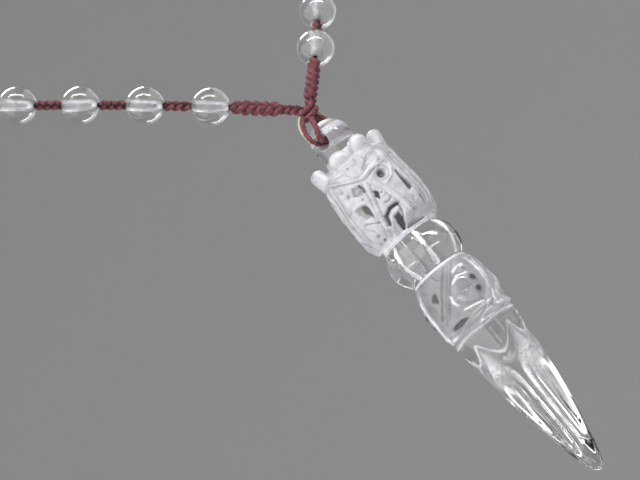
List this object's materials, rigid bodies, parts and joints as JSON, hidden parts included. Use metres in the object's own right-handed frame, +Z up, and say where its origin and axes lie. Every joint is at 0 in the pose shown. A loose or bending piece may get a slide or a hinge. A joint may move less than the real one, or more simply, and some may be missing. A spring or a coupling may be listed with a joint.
{
  "type": "phurba pendant on a bead necklace",
  "caption": "Carved rock crystal phurba pendant, three-faced with a three-sided blade, swinging on a knotted cord necklace of round crystal beads",
  "frame": {"origin": "nape point, the middle of the back bead, at the top and back of the loop", "axes": "+Z up as it hangs, -Y to the front of the necklace, X from side to side"},
  "size_m": [0.1836, 0.1562, 0.2437],
  "materials": {
    "bead_crystal": "clear polished rock crystal, with ground drill holes",
    "pendant_crystal": "clear polished rock crystal, with matte white carved grooves",
    "cord": "twisted dark red cord, tied in knots"
  },
  "bodies": {
    "necklace": {"beads": "bead_crystal", "knots": "cord", "thread": "cord", "bail_loop": "cord"},
    "pendant": {"phurba": "pendant_crystal"}
  },
  "joints": [
    {"name": "pendant_swing", "type": "hinge", "parent": "necklace", "child": "pendant", "pos_m": [0, -0.1465, -0.176], "axis": [0.866, 0.5, 0], "range_deg": [-80, 80]}
  ]
}
